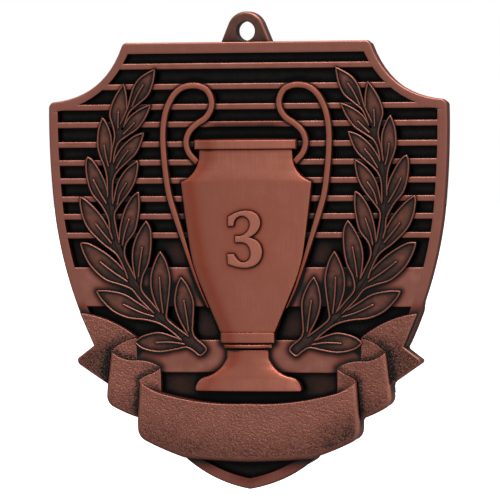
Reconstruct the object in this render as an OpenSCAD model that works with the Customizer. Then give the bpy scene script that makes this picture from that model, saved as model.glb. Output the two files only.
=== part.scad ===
// Shield-shaped award medal with a ribbon eye: a two-handled cup with a placing numeral stands
// between laurel branches, over horizontal bars and above a folded banner.
// The medal stands upright: +Z is up, the front faces -Y, and the origin is on the eye's axis.
// Every relief element is drawn in a sketch plane (x across, y up) and raised by a height that is
// measured from the flat back.

/* [Shield] */
// Thickness at the raised border and bars
border_t = 3.6; // [3.2:0.1:3.8]
// Thickness of the recessed floor
floor_t = 2.4; // [1.6:0.1:2.8]
// Width of the raised border along the sides
border_w = 1.5; // [1.2:0.1:1.8]
// Width of the raised border along the top edge
border_top_w = 1.75; // [1.2:0.05:2.2]

/* [Ribbon eye] */
// Radius of the hole that takes the jump ring
eye_hole_r = 1.5; // [1:0.1:1.6]
// Radius of the rounded top around the hole
eye_outer_r = 3.05; // [2.4:0.05:3.2]
// Half the width of the eye where it meets the shield
eye_foot_w = 4; // [3.6:0.1:5]
// Height of the eye's back face above the shield's back
eye_back = 1.1; // [0.4:0.1:1.4]
// Height of the eye's front face above the shield's back
eye_front = 3.2; // [2.4:0.1:3.4]

/* [Bars] */
// Height of a thin bar
bar_h = 0.92; // [0.6:0.02:1.2]

/* [Cup] */
// Height of the cup's outer edges above the back
cup_edge = 3.9; // [3.7:0.1:4.3]
// Height of the cup's centre line above the back
cup_front = 5; // [4.6:0.1:5.2]
// How far the numeral stands out of the cup
numeral_raise = 0.35; // [0.2:0.05:0.5]
// Height of the handles above the back
handle_t = 3.9; // [3.7:0.1:4.3]
// Width of a handle
handle_w = 0.95; // [0.7:0.05:1.1]

/* [Laurel] */
// Height of the leaves above the back
leaf_t = 3.9; // [3.7:0.1:4.2]
// Height of the stems above the back
stem_t = 3.7; // [3.5:0.1:4]
// Width of a stem
stem_w = 1.1; // [0.8:0.1:1.3]

/* [Banner] */
// Height of the banner's centre panel at its side edges
banner_edge = 4.7; // [4.3:0.1:5]
// Height of the banner's centre panel at its middle
banner_front = 5.4; // [5.1:0.1:5.8]
// Height of the middle panels above the back
banner_mid_t = 4.2; // [4:0.1:4.4]
// Height of the two tails above the back
banner_tail_t = 4.1; // [3.9:0.1:4.4]
// Height of the inner folds above the back
banner_fold_t = 3.75; // [3.65:0.05:3.9]

/* [Hidden] */

copper = [0.55, 0.33, 0.27];
dark_copper = [0.33, 0.21, 0.18];
patina_black = [0.1, 0.09, 0.08];

// Heights along the shield's axis, from the eye's centre
shield_top = -1.65;
shield_tip = -71.5;
// The border is this much wider at the tip
tip_extra = 0.15;
half_t = border_t / 2;
reach = 90;

// Right half of the shield from its top centre to its tip. Each row is a point and how far the
// edge from it to the next row bows outwards.
shield_sharp = [
    [0, shield_top, 0], [20, shield_top, -2.3], [32.25, -11, 0.28],
    [31.4, -29, 0.46], [27.5, -44, 2.1], [10.4, -66.7, 0.72], [0, shield_tip + tip_extra, 0]
];
// The same half with its two corners rounded
shield_rounded = [
    [0, shield_top, 0], [19.5, shield_top, 0.1], [20.15, -2.2, -2.25],
    [31.55, -10.85, 0.15], [32.25, -11.7, 0.28],
    [31.4, -29, 0.46], [27.5, -44, 2.1], [10.4, -66.7, 0.78], [0, shield_tip, 0]
];

// Middle heights of the thin bars, and the top and bottom of the two bands
bar_rows = [-5.4, -8.6, -11.75, -14.5, -17.6, -20.45, -23.3, -26.15, -28.9, -31.85];
band_upper_rows = [-36.85, -43];
band_lower_rows = [-48.2, -53.3];

// Cup: half widths and heights of its parts, from the lip down
lip_half_w = 8.17;
lip_rows = [-17, -18.5];
neck_half_w = 7.5;
shoulder = [10.6, -23.5];
waist_z = -47;
waist_half_w = 4.4;
collar_half_w = 4.35;
collar_bottom = -48.6;
ring_half_w = 3.93;
ring_bottom = -49.6;
foot_half_w = 8.6;
foot_bottom = -56.15;
cup_bow_w = 10.6;
// Extra height of the lip and the collar over the cup's body
cup_step = 0.2;

// Right handle's centre line, from the neck over the top and down to the cup's waist
handle_path = [
    [7.8, -20.5], [9.2, -19], [9.68, -17.3], [9.2, -15.7], [8, -14.5], [6.5, -13.5], [5.6, -12.1],
    [5.5, -10.6], [6.2, -9.2], [7.3, -8.6], [8.6, -8.43], [10.1, -8.7], [11.4, -9.6],
    [12.4, -11.1], [13.1, -13], [13.44, -15.5], [13.43, -18], [13.15, -21.5], [12.6, -25.3],
    [11.6, -28.7], [10.25, -32.8], [9, -36.6], [7.65, -40.3], [6.3, -43.2]
];
// The handle keeps its width to this point of the path, then tapers to its tip
handle_taper_from = 19;
handle_tip_w = 0.2;

// Right laurel stem from its top to its cut end
stem_path = [
    [20.5, -15.2], [21.3, -18], [21.95, -20.8], [22.2, -24], [22.15, -27.3], [21.9, -30.4],
    [21.2, -33.4], [20.1, -36.3], [18.4, -39.6], [16.2, -42.5], [13.9, -44.8], [11.2, -47],
    [9.3, -48.5], [7.2, -50]
];
// Leaves of the right branch: tip, base, and how far each side bows out from the line between them
outer_leaves = [
    [[19.8, -8.15], [20.9, -15.3], 1.55, 0.9],
    [[23.35, -13.4], [22.4, -21.3], 1.35, 0.95],
    [[25.95, -19.6], [22.7, -27.2], 1.55, 1.1],
    [[27.1, -25.85], [21.9, -33.5], 1.6, 1.1],
    [[27.1, -33], [19.5, -39.2], 2, 1.3],
    [[24.5, -40.5], [15.2, -44.6], 2, 1.1],
    [[18.1, -48.6], [10, -48.9], 1.3, 1.65]
];
inner_leaves = [
    [[14.75, -5.85], [19.5, -13.5], 1.45, 1.2],
    [[15.5, -11.4], [20.3, -16.3], 0.95, 1.05],
    [[16.65, -15.8], [21.5, -21.8], 1.2, 0.95],
    [[17.7, -20.3], [21.5, -27.6], 1.4, 0.95],
    [[17.6, -25.1], [20.6, -33.8], 1.25, 1],
    [[16.4, -29.65], [18, -39], 1.4, 1.2],
    [[14.15, -34.4], [13.9, -44.4], 1.7, 1.45],
    [[10.8, -38.5], [9.5, -47.6], 1.55, 1.35]
];

// Corners that the banner's right panels share
turn_top = [18.2, -47.8];
turn_bottom = [18.1, -51.45];
mid_corner = [22.3, -49.95];
mid_foot = [22.95, -55.15];
fold_top = [14.3, -52.5];
fold_bottom = [14.3, -56.5];
center_corner = [17.6, -54.6];
fold_middle = [15.95, -53.65];
center_side = [18, -60.5];
// Height of the centre panel's top edge at its middle
center_top = -58.1;
// How far the shared edges bow
turn_upper_bow = 0.26;
turn_lower_bow = 0.48;
mid_top_bow = 0.3;
fold_upper_bow = 0.14;
fold_upper_sag = 0.1;
center_top_bow = 0.22;

// Right tail's edge from the turn's top to the middle panel's foot: points and bows
tail_rows = [
    concat(turn_top, 0.7), [27.35, -44, 0], [25.1, -49.1, 0], [27.3, -50.75, 0.12],
    [27.8, -51.4, 0.12], [27.35, -52.2, 0]
];
// Centre panel's edge from its side corner to its lowest point
center_foot_rows = [
    concat(center_side, 0.05), [17.95, -62.5, 0.25], [16.6, -64.1, 0.12],
    [10.3, -66.6, 0.08], [0, -67.2, 0]
];

// Numeral 3: its outer edge from the top terminal to the waist and on to the bottom terminal, and
// the edges of its lower and upper bays
numeral_top = [
    [-2.6, -28.92], [-1.5, -28.33], [-0.5, -28.03], [0.35, -27.95], [1.2, -28.06],
    [1.95, -28.42], [2.4, -28.95], [2.62, -29.7], [2.5, -30.5], [2, -31.3], [1.3, -31.85],
    [0.78, -32.1]
];
numeral_bottom = [
    [0.78, -32.1], [1.5, -32.35], [2.1, -32.7], [2.6, -33.3], [2.86, -34.3], [2.7, -35.25],
    [2.3, -35.95], [1.7, -36.45], [0.85, -36.76], [-0.1, -36.85], [-1.4, -36.68], [-2.7, -36.27]
];
numeral_lower_bay = [
    [-1.7, -34.72], [-1.27, -35.4], [-0.75, -35.86], [-0.2, -36.02], [0.35, -35.87],
    [0.8, -35.45], [1.02, -34.7], [0.85, -33.8], [0.35, -33.12], [-0.3, -32.87]
];
numeral_upper_bay = [
    [-0.57, -31.9], [0.1, -31.58], [0.65, -31], [0.95, -30.2], [0.8, -29.45], [0.33, -28.95],
    [-0.37, -28.75], [-1.07, -29], [-1.52, -29.5], [-1.72, -30.33]
];
// Corners of the bottom terminal, of the middle bar's end and of the top terminal
numeral_corners = [[-2.78, -34.72], [-1.47, -32.87], [-1.47, -31.9], [-2.6, -30.35]];

// ---- Outline functions ----

function unit(v) = v / norm(v);
function left_of(v) = [-v.y, v.x];
function flipped(points) = [for (i = [len(points) - 1:-1:0]) [-points[i].x, points[i].y]];

// Points on the curve from a towards b that bows by s to the left of its direction, without b
function bow(a, b, s, n = 6) =
    let (middle = (a + b) / 2 + 2 * s * left_of(unit(b - a)))
    s == 0 ? [a] : [for (i = [0:n - 1]) let (t = i / n)
        (1 - t) * (1 - t) * a + 2 * t * (1 - t) * middle + t * t * b];

// Points along rows of [x, y, bow], open or closed
function edge(rows, n = 6) = [for (i = [0:len(rows) - 2])
    each bow([rows[i].x, rows[i].y], [rows[i + 1].x, rows[i + 1].y], rows[i].z, n)];
function ring(rows, n = 6) = edge(concat(rows, [rows[0]]), n);

// A closed symmetric outline from its right half, whose ends lie on the axis
function whole(half) = let (last = half[len(half) - 1])
    concat(edge(half, 10), [[last.x, last.y]], flipped([for (i = [1:len(edge(half, 10)) - 1])
        edge(half, 10)[i]]));

// A clockwise outline moved inwards by d
function inset(points, d) = let (n = len(points)) [for (i = [0:n - 1])
    let (before = unit(points[i] - points[(i + n - 1) % n]),
        after = unit(points[(i + 1) % n] - points[i]),
        along = unit(before + after))
    points[i] - left_of(along) * d / (along * before)];

// A smooth curve through the points, with n steps between each two of them
function smooth(points, n = 3) = let (last = len(points) - 1) concat(
    [for (i = [0:last - 1]) for (k = [0:n - 1]) let (
        t = k / n,
        before = points[max(i - 1, 0)],
        from = points[i],
        to = points[i + 1],
        after = points[min(i + 2, last)])
        0.5 * (2 * from + (to - before) * t + (2 * before - 5 * from + 4 * to - after) * t * t
            + (3 * from - before - 3 * to + after) * t * t * t)],
    [points[last]]);

// A strip along a path; widths gives half its width at each point
function strip(path, widths) = let (
    last = len(path) - 1,
    sides = [for (i = [0:last])
        left_of(unit(path[min(i + 1, last)] - path[max(i - 1, 0)])) * widths[i]])
    concat([for (i = [0:last]) path[i] + sides[i]], [for (i = [last:-1:0]) path[i] - sides[i]]);

// ---- Flat outlines ----

module shield_outline() polygon(whole(shield_rounded));

module window_outline() {
    intersection() {
        polygon(inset(whole(shield_sharp), border_w));
        translate([-reach / 2, -reach]) square([reach, reach + shield_top - border_top_w]);
    }
}

module on_side(side) mirror([side < 0 ? 1 : 0, 0]) children();

module numeral_outline() {
    bottom = smooth(numeral_bottom, 2);
    polygon(concat(
        smooth(numeral_top, 2), [for (i = [1:len(bottom) - 1]) bottom[i]],
        [numeral_corners[0]], smooth(numeral_lower_bay, 2), [numeral_corners[1]],
        [numeral_corners[2]], smooth(numeral_upper_bay, 2), [numeral_corners[3]]));
}

module handle_outline(side) {
    steps = 3;
    path = smooth(handle_path, steps);
    tail = (len(handle_path) - 1 - handle_taper_from) * steps;
    widths = [for (i = [0:len(path) - 1]) let (k = max(0, i - handle_taper_from * steps) / tail)
        (handle_w + (handle_tip_w - handle_w) * k) / 2];
    on_side(side) polygon(strip(path, widths));
}

module stem_outline(side) {
    path = smooth(stem_path);
    on_side(side) polygon(strip(path, [for (p = path) stem_w / 2]));
}

module leaf_outline(leaf) {
    polygon(concat(bow(leaf[0], leaf[1], leaf[2]), bow(leaf[1], leaf[0], leaf[3])));
}

module leaves_outline(leaves, side) {
    on_side(side) for (leaf = leaves) leaf_outline(leaf);
}

module laurel_outline(side) {
    stem_outline(side);
    leaves_outline(outer_leaves, side);
    leaves_outline(inner_leaves, side);
}

module cup_body_outline() {
    flank = smooth([shoulder, [9.85, -29.5], [8.7, -36.4], [6.4, -42.4],
        [waist_half_w, waist_z]], 4);
    half = concat([[neck_half_w, lip_rows[1]]], bow([neck_half_w + 0.1, -20], shoulder, -0.65),
        flank);
    polygon(concat(half, flipped(half)));
}

module cup_foot_outline() {
    half = edge([[3.4, ring_bottom, 0], [3.4, -51, -0.65], [7.25, -54.05, 0.3],
        [foot_half_w, foot_bottom, 0], [0, foot_bottom, 0]]);
    polygon(concat(half, flipped(half)));
}

// A rectangle from top to bottom, with the same half width on both sides
module slab(half_w, top, bottom) {
    translate([-half_w, bottom]) square([2 * half_w, top - bottom]);
}

module cup_outline() {
    slab(lip_half_w, lip_rows[0], lip_rows[1]);
    cup_body_outline();
    slab(collar_half_w, waist_z, collar_bottom);
    slab(ring_half_w, collar_bottom, ring_bottom);
    cup_foot_outline();
}

module center_outline() {
    polygon(whole(concat(
        [[0, center_top, -0.58], concat(fold_bottom, -center_top_bow), concat(center_corner, 0)],
        center_foot_rows)));
}

module fold_outline(side) {
    on_side(side) polygon(ring([concat(fold_top, 0), concat(fold_bottom, -center_top_bow),
        concat(center_corner, -fold_upper_bow), concat(fold_middle, fold_upper_sag)]));
}

module mid_outline(side) {
    on_side(side) polygon(ring([
        concat(mid_corner, turn_lower_bow), concat(turn_bottom, -mid_top_bow),
        concat(fold_top, -fold_upper_sag), concat(fold_middle, fold_upper_bow),
        concat(center_corner, 0), concat(center_side, -0.13), [22.3, -58.6, -0.2],
        [23.1, -57, 0], concat(mid_foot, 0)]));
}

module turn_outline(side) {
    on_side(side) polygon(ring([concat(mid_corner, -turn_upper_bow), concat(turn_top, 0),
        concat(turn_bottom, -turn_lower_bow)]));
}

module tail_outline(side) {
    on_side(side) polygon(ring(concat(tail_rows,
        [concat(mid_foot, 0), concat(mid_corner, -turn_upper_bow)])));
}

// The outer edge that all the panels share
module banner_outline() {
    polygon(whole(concat(
        [[0, center_top, -0.58], concat(fold_bottom, 0), concat(fold_top, mid_top_bow),
            concat(turn_bottom, 0)],
        tail_rows,
        [concat(mid_foot, 0), [23.1, -57, 0.2], [22.3, -58.6, 0.13]],
        center_foot_rows)));
}

// Everything that stands in front of the bars and bands
module relief_outline() {
    cup_outline();
    banner_outline();
    for (side = [-1, 1]) {
        handle_outline(side);
        laurel_outline(side);
    }
}

// ---- Raising ----

// Stands the sketch upright, with its back at Y = half_t and its heights towards -Y
module upright() translate([0, half_t, 0]) rotate([90, 0, 0]) children();

module raised(from, to) translate([0, 0, from]) linear_extrude(to - from) children();

// The space behind a bowed front, which is front high on the axis and side high at half_w
module bowed_space(half_w, side, front) {
    rise = front - side;
    bow_r = (half_w * half_w + rise * rise) / (2 * rise);
    translate([0, 0, front - bow_r]) rotate([90, 0, 0])
        cylinder(r = bow_r, h = 2 * reach, center = true, $fn = 360);
}

// A raised element whose front bows out like the wall of a round cup
module bowed(from, half_w, side, front) {
    intersection() {
        raised(from, front) children();
        bowed_space(half_w, side, front);
    }
}

// ---- Sub-parts ----

module shield_plate() {
    color(patina_black) upright() raised(0, floor_t) difference() {
        shield_outline();
        banner_outline();
    }
}

module border_frame() {
    color(copper) upright() raised(floor_t, border_t) difference() {
        shield_outline();
        window_outline();
        banner_outline();
    }
}

// A round top over two straight flanks that run down to the foot and touch the round top
module suspension_eye() {
    steps = 32;
    low = acos(eye_outer_r / norm([eye_foot_w, shield_top])) - atan2(-shield_top, eye_foot_w);
    color(dark_copper) upright() difference() {
        raised(eye_back, eye_front) polygon(concat(
            [[eye_foot_w, shield_top], [-eye_foot_w, shield_top]],
            [for (i = [0:steps]) let (turn = 180 - low - i * (180 - 2 * low) / steps)
                eye_outer_r * [cos(turn), sin(turn)]]));
        cylinder(r = eye_hole_r, h = 3 * border_t, center = true, $fn = 96);
    }
}

module stripe(top, bottom) {
    color(copper) upright() raised(floor_t, border_t) difference() {
        intersection() {
            slab(reach / 2, top, bottom);
            window_outline();
        }
        relief_outline();
    }
}

module bar(row) stripe(bar_rows[row] + bar_h / 2, bar_rows[row] - bar_h / 2);

module band(rows) stripe(rows[0], rows[1]);

module cup_lip() {
    color(copper) upright()
        bowed(floor_t, cup_bow_w, cup_edge + cup_step, cup_front + cup_step)
        slab(lip_half_w, lip_rows[0], lip_rows[1]);
}

module cup_body() {
    color(copper) upright() bowed(floor_t, cup_bow_w, cup_edge, cup_front) cup_body_outline();
}

module cup_collar() {
    color(copper) upright() bowed(floor_t, cup_bow_w, cup_edge + cup_step, cup_front)
        slab(collar_half_w, waist_z, collar_bottom);
}

module cup_ring() {
    color(dark_copper) upright() bowed(floor_t, cup_bow_w, cup_edge, cup_front - cup_step)
        slab(ring_half_w, collar_bottom, ring_bottom);
}

module cup_foot() {
    color(copper) upright() bowed(floor_t, cup_bow_w, cup_edge, cup_front) cup_foot_outline();
}

module handle(side) {
    color(copper) upright() raised(floor_t, handle_t) difference() {
        handle_outline(side);
        cup_outline();
    }
}

module numeral_3() {
    color(copper) upright() difference() {
        raised(floor_t, cup_front + numeral_raise) numeral_outline();
        bowed_space(cup_bow_w, cup_edge, cup_front);
    }
}

module laurel_stem(side) {
    color(dark_copper) upright() raised(floor_t, stem_t) stem_outline(side);
}

module outer_leaf_row(side) {
    color(dark_copper) upright() raised(floor_t, leaf_t) difference() {
        leaves_outline(outer_leaves, side);
        stem_outline(side);
        turn_outline(side);
    }
}

module inner_leaf_row(side) {
    color(dark_copper) upright() raised(floor_t, leaf_t) difference() {
        leaves_outline(inner_leaves, side);
        leaves_outline(outer_leaves, side);
        stem_outline(side);
    }
}

module banner_center() {
    color(copper) upright() bowed(0, center_side.x, banner_edge, banner_front) center_outline();
}

module banner_fold(side) color(dark_copper) upright() raised(0, banner_fold_t) fold_outline(side);

module banner_mid(side) color(copper) upright() raised(0, banner_mid_t) mid_outline(side);

module banner_turn(side) color(dark_copper) upright() raised(0, banner_fold_t) turn_outline(side);

module banner_tail(side) color(copper) upright() raised(0, banner_tail_t) tail_outline(side);

shield_plate();
border_frame();
suspension_eye();
bar(0);  // bar_01
bar(1);  // bar_02
bar(2);  // bar_03
bar(3);  // bar_04
bar(4);  // bar_05
bar(5);  // bar_06
bar(6);  // bar_07
bar(7);  // bar_08
bar(8);  // bar_09
bar(9);  // bar_10
band(band_upper_rows);  // band_upper
band(band_lower_rows);  // band_lower
cup_lip();
cup_body();
cup_collar();
cup_ring();
cup_foot();
handle(-1);  // handle_left
handle(1);  // handle_right
numeral_3();
laurel_stem(-1);  // laurel_stem_left
laurel_stem(1);  // laurel_stem_right
outer_leaf_row(-1);  // laurel_outer_leaves_left
outer_leaf_row(1);  // laurel_outer_leaves_right
inner_leaf_row(-1);  // laurel_inner_leaves_left
inner_leaf_row(1);  // laurel_inner_leaves_right
banner_center();
banner_fold(-1);  // banner_fold_left
banner_fold(1);  // banner_fold_right
banner_mid(-1);  // banner_mid_left
banner_mid(1);  // banner_mid_right
banner_turn(-1);  // banner_turn_left
banner_turn(1);  // banner_turn_right
banner_tail(-1);  // banner_tail_left
banner_tail(1);  // banner_tail_right
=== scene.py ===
"""Shield-shaped award medal in antique copper: a cup with a placing numeral between two laurel
branches, over bars and above a folded banner. Lengths in this script are millimetres in the
part's own frame until a mesh is written: X to the right, Z up, front towards -Y, and the origin
on the axis of the ribbon eye. A height h is measured from the medal's flat back, as in the CAD."""

import math

import bmesh
import bpy
import numpy as np
from mathutils import Matrix, Vector, geometry, noise


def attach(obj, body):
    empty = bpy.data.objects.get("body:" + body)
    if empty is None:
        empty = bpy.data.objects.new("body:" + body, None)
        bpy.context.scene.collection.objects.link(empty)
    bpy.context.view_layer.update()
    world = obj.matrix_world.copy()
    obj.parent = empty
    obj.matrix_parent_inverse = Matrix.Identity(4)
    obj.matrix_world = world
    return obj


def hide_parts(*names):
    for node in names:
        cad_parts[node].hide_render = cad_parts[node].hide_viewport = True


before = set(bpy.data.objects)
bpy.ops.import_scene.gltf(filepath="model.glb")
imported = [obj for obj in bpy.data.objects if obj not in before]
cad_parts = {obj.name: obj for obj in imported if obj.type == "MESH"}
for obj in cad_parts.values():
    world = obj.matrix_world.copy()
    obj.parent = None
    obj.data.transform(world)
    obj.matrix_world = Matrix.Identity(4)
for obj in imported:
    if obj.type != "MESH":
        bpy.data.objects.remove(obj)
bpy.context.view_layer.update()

MM = 0.001
BACK_Y = 1.8  # the flat back
BACK_LEAN = 0.35  # the outer walls lean in by this much towards the back
BACK_PATINA = 0.6  # how dark the back is

# ---- The medal's sizes, as in the CAD ----

BORDER_T = 3.6
FLOOR_T = 2.4
BORDER_W = 1.5
BORDER_TOP_W = 1.75
SHIELD_TOP = -1.65
SHIELD_TIP = -71.5
TIP_EXTRA = 0.15  # the border is this much wider at the tip

EYE_HOLE_R = 1.5
EYE_OUTER_R = 3.05
EYE_FOOT_W = 4
EYE_BACK = 1.1
EYE_FRONT = 3.2

BAR_H = 0.92
BAR_ROWS = [-5.4, -8.6, -11.75, -14.5, -17.6, -20.45, -23.3, -26.15, -28.9, -31.85]
BAND_UPPER = (-36.85, -43)
BAND_LOWER = (-48.2, -53.3)

CUP_EDGE = 3.95
CUP_FRONT = 5
CUP_FULL_W = 10.6
LIP_HALF_W = 8.17
LIP_ROWS = (-17, -18.35)
NECK_HALF_W = 7.5
SHOULDER = (10.6, -23.5)
WAIST = (4.4, -47)
CUP_FLANK = [SHOULDER, (9.85, -29.5), (8.7, -36.4), (6.4, -42.4), WAIST]
COLLAR_HALF_W = 4.35
COLLAR_BOTTOM = -48.6
RING_HALF_W = 3.93
RING_ROWS = (-48.85, -49.5)
FOOT_TOP = -49.72
FOOT_STEM = (3.4, -51)  # where the foot starts to widen
FOOT_WING = (7.25, -54.05)  # and where its flat rim starts
FOOT_HALF_W = 8.6
FOOT_BOTTOM = -56.15
NUMERAL_RAISE = 0.38

HANDLE_T = 3.9
HANDLE_W = 0.95
HANDLE_TIP_W = 0.25
HANDLE_TAPER_FROM = 19
HANDLE_PATH = [
    (7.8, -20.5), (9.2, -19), (9.68, -17.3), (9.2, -15.7), (8, -14.5), (6.5, -13.5),
    (5.6, -12.1), (5.5, -10.6), (6.2, -9.2), (7.3, -8.6), (8.6, -8.43), (10.1, -8.7),
    (11.4, -9.6), (12.4, -11.1), (13.1, -13), (13.44, -15.5), (13.43, -18), (13.15, -21.5),
    (12.6, -25.3), (11.6, -28.7), (10.25, -32.8), (9, -36.6), (7.65, -40.3), (6.3, -43.2),
]

LEAF_T = 3.63  # the leaves' hollows
LEAF_DOME = 0.1
RIDGE_T = 3.93
RIDGE_HALF_W = 0.19
STEM_W = 1.1
STEM_PATH = [
    (20.5, -15.2), (21.3, -18), (21.95, -20.8), (22.2, -24), (22.15, -27.3), (21.9, -30.4),
    (21.2, -33.4), (20.1, -36.3), (18.4, -39.6), (16.2, -42.5), (13.9, -44.8), (11.2, -47),
    (9.3, -48.5), (7.5, -50),
]
# Leaves of the right branch. Each has its tip, the ridge down each side to where it ends on the
# stem, and the middle rib.
OUTER_LEAVES = [
    ((19.8, -8.1),
     [(20.93, -9.69), (21.77, -11.37), (22.1, -12.96), (21.63, -14.64), (21.35, -16.32),
      (21.83, -18.4), (22.13, -20.36)],
     [(19.4, -9.97), (19.3, -12.1)],
     [(20.7, -12.45), (20.79, -14.27), (20.77, -15.01)]),
    ((23.31, -13.38),
     [(23.97, -15.2), (24.16, -17.47), (23.83, -19.15), (23.09, -21.01), (22.67, -22.97),
      (22.64, -25.77)],
     [(22.71, -14.27), (22.05, -15.95), (21.9, -17.6), (22, -19.2)],
     [(23.11, -17.7), (22.81, -19.52), (22.43, -20.97)]),
    ((25.85, -19.55),
     [(26.12, -20.45), (25.98, -22.6), (25.23, -25.12), (23.65, -27.08), (22.53, -29.23),
      (22.34, -31), (21.9, -32.4)],
     [(25.05, -20.08), (23.93, -21.76), (23.09, -23.44), (22.62, -25)],
     [(24.97, -23.07), (23.93, -25.03), (22.85, -26.8)]),
    ((27.1, -25.8),
     [(27.15, -26.8), (26.77, -28.76), (25.76, -30.85), (23.5, -33.11), (21.25, -34.84),
      (19.95, -37.27), (19.5, -38.57)],
     [(26.07, -26.43), (24.58, -27.83), (23.37, -29.32), (22.5, -30.8)],
     [(24.65, -30), (23.67, -31.2), (22.08, -33.07)]),
    ((27.15, -33.05),
     [(26.71, -34.49), (25.41, -36.75), (23.15, -38.74), (20.73, -39.52), (18.82, -40.3),
      (17.52, -41.86), (15.27, -44.03)],
     [(25.75, -33.19), (23.33, -34.49), (21.42, -35.97), (20.2, -37.2)],
     [(24.02, -35.97), (21.94, -37.53), (19.51, -39.09)]),
    ((24.6, -40.6),
     [(23.85, -41.86), (21.94, -43.68), (19.51, -44.72), (16.74, -45.03), (14.31, -45.67),
      (12.41, -46.89), (10.76, -48.27)],
     [(22.98, -40.56), (20.21, -41.08), (17.95, -42.38), (16.1, -43.5)],
     [(20.29, -42.64), (17.61, -43.85), (15.27, -44.55)]),
    ((18.39, -48.57),
     [(17.09, -49.57), (14.49, -50.06), (11.71, -49.66), (9.98, -49.35), (8.75, -49.97),
      (7.95, -50.6), (7.35, -50.42), (6.75, -49.68), (7.25, -48.98), (8.25, -48.19),
      (8.8, -47.5), (9.03, -46.6)],
     [(17.09, -47.67), (14.49, -47.11), (12.06, -47.75), (11, -48.17)],
     [(15.09, -48.67), (12.58, -48.57), (10.33, -48.88)]),
]
INNER_LEAVES = [
    ((14.7, -5.85),
     [(16.92, -7.08), (18.13, -8.57), (18.69, -10.16), (19.25, -12), (20.42, -14.41)],
     [(15.05, -7.92), (15.89, -9.88), (17.39, -11.19), (18.97, -12.59), (19.83, -14.83)],
     [(16.59, -8.29), (17.57, -9.79), (18.46, -11.65)]),
    ((15.45, -11.38),
     [(17.2, -12.12), (18.79, -13.24), (19.7, -14.5)],
     [(16.27, -13.24), (17.57, -15.01), (19.07, -16.04), (20.65, -17.16), (21.36, -18.68),
      (21.59, -20.45)],
     [(18.09, -14.17), (19.35, -15.39), (19.95, -15.95)]),
    ((16.6, -15.78),
     [(18.32, -16.41), (20.1, -17.93), (21.22, -19.52), (21.5, -20.2)],
     [(17.3, -17.75), (18.14, -19.15), (19.54, -20.45), (20.94, -21.76), (21.69, -23.16),
      (21.85, -25.4), (21.78, -26.89)],
     [(19.17, -18.49), (20.29, -19.89), (21.22, -21.39)]),
    ((17.7, -20.2),
     [(19.17, -21.2), (20.38, -22.6), (21.13, -24.19), (21.65, -26.5)],
     [(17.67, -21.11), (18.09, -23.07), (19.07, -24.93), (20.75, -27.08), (21.55, -28.48),
      (21.36, -30.35), (20.82, -32.93)],
     [(19.54, -23.63), (20.57, -25.21), (21.08, -27.08)]),
    ((17.6, -25.05),
     [(18.61, -25.87), (19.63, -27.45), (20.24, -29.13), (20.66, -31), (20.8, -32.6)],
     [(17.49, -27.08), (17.77, -29.23), (18.3, -31.2), (19.69, -33.11), (19.95, -35.01),
      (19, -37.09), (18.2, -38.65)],
     [(19.17, -29.29), (19.95, -31.55), (20.3, -33.37)]),
    ((16.35, -29.65),
     [(17.26, -30.85), (18.3, -32.93), (18.68, -35.19), (18.44, -37.61), (18.25, -38.4)],
     [(15.7, -31.03), (15.67, -33.63), (16.13, -36.23), (17.09, -38.31), (17.26, -40.39),
      (15.87, -42.12), (14.31, -43.85)],
     [(17.05, -33.71), (17.52, -36.4), (17.75, -38.39)]),
    ((14.14, -34.44),
     [(14.84, -35.71), (15.61, -37.96), (15.61, -40.39), (14.84, -42.81), (14.4, -43.6)],
     [(13.27, -35.88), (12.62, -38.31), (12.75, -40.73), (13.1, -43.33), (13.14, -44.89),
      (11.71, -46.19), (9.63, -47.63)],
     [(14.28, -38.45), (14.11, -41.25), (13.76, -44.03)]),
    ((10.78, -38.45),
     [(11.45, -39.87), (11.8, -42.29), (11.19, -44.72), (9.8, -47.3)],
     [(9.81, -39.69), (8.85, -42.12), (8.91, -44.89), (9.03, -46.6)],
     [(10.33, -42.03), (9.89, -44.72), (9.6, -46.89)]),
]

# Corners that the banner's right panels share
TURN_TOP = (18.2, -47.8)
TURN_BOTTOM = (18.1, -51.45)
MID_CORNER = (22.3, -49.95)
MID_FOOT = (22.95, -55.15)
FOLD_TOP = (14.3, -52.5)
FOLD_BOTTOM = (14.3, -56.5)
CENTER_CORNER = (17.6, -54.6)
FOLD_MIDDLE = (15.95, -53.65)
CENTER_SIDE = (18, -60.5)
CENTER_TOP = -58.1
MID_SIDE = (22.3, -58.6)
MID_LOW = (23.1, -57)
TURN_UPPER_BOW = 0.26
TURN_LOWER_BOW = 0.48
MID_TOP_BOW = 0.3
FOLD_UPPER_BOW = 0.14
FOLD_UPPER_SAG = 0.1
CENTER_TOP_BOW = 0.22
TAIL_ROWS = [
    (*TURN_TOP, 0.7), (27.35, -44, 0), (25.1, -49.1, 0), (27.3, -50.75, 0.12),
    (27.8, -51.4, 0.12), (27.35, -52.2, 0),
]
CENTER_FOOT_ROWS = [
    (*CENTER_SIDE, 0.05), (17.95, -62.5, 0.25), (16.6, -64.1, 0.12), (10.3, -66.6, 0.08),
    (0, -67.2, 0),
]
BANNER_FRONT = 5.35
BANNER_EDGE = 4.7

SHIELD_ROWS = [
    (0, SHIELD_TOP, 0), (19.5, SHIELD_TOP, 0.1), (20.15, -2.2, -2.25), (31.55, -10.85, 0.15),
    (32.25, -11.7, 0.28), (31.4, -29, 0.46), (27.5, -44, 2.1), (10.4, -66.7, 0.78),
    (0, SHIELD_TIP, 0),
]
SHIELD_SHARP_ROWS = [
    (0, SHIELD_TOP, 0), (20, SHIELD_TOP, -2.3), (32.25, -11, 0.28), (31.4, -29, 0.46),
    (27.5, -44, 2.1), (10.4, -66.7, 0.72), (0, SHIELD_TIP + TIP_EXTRA, 0),
]
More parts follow.
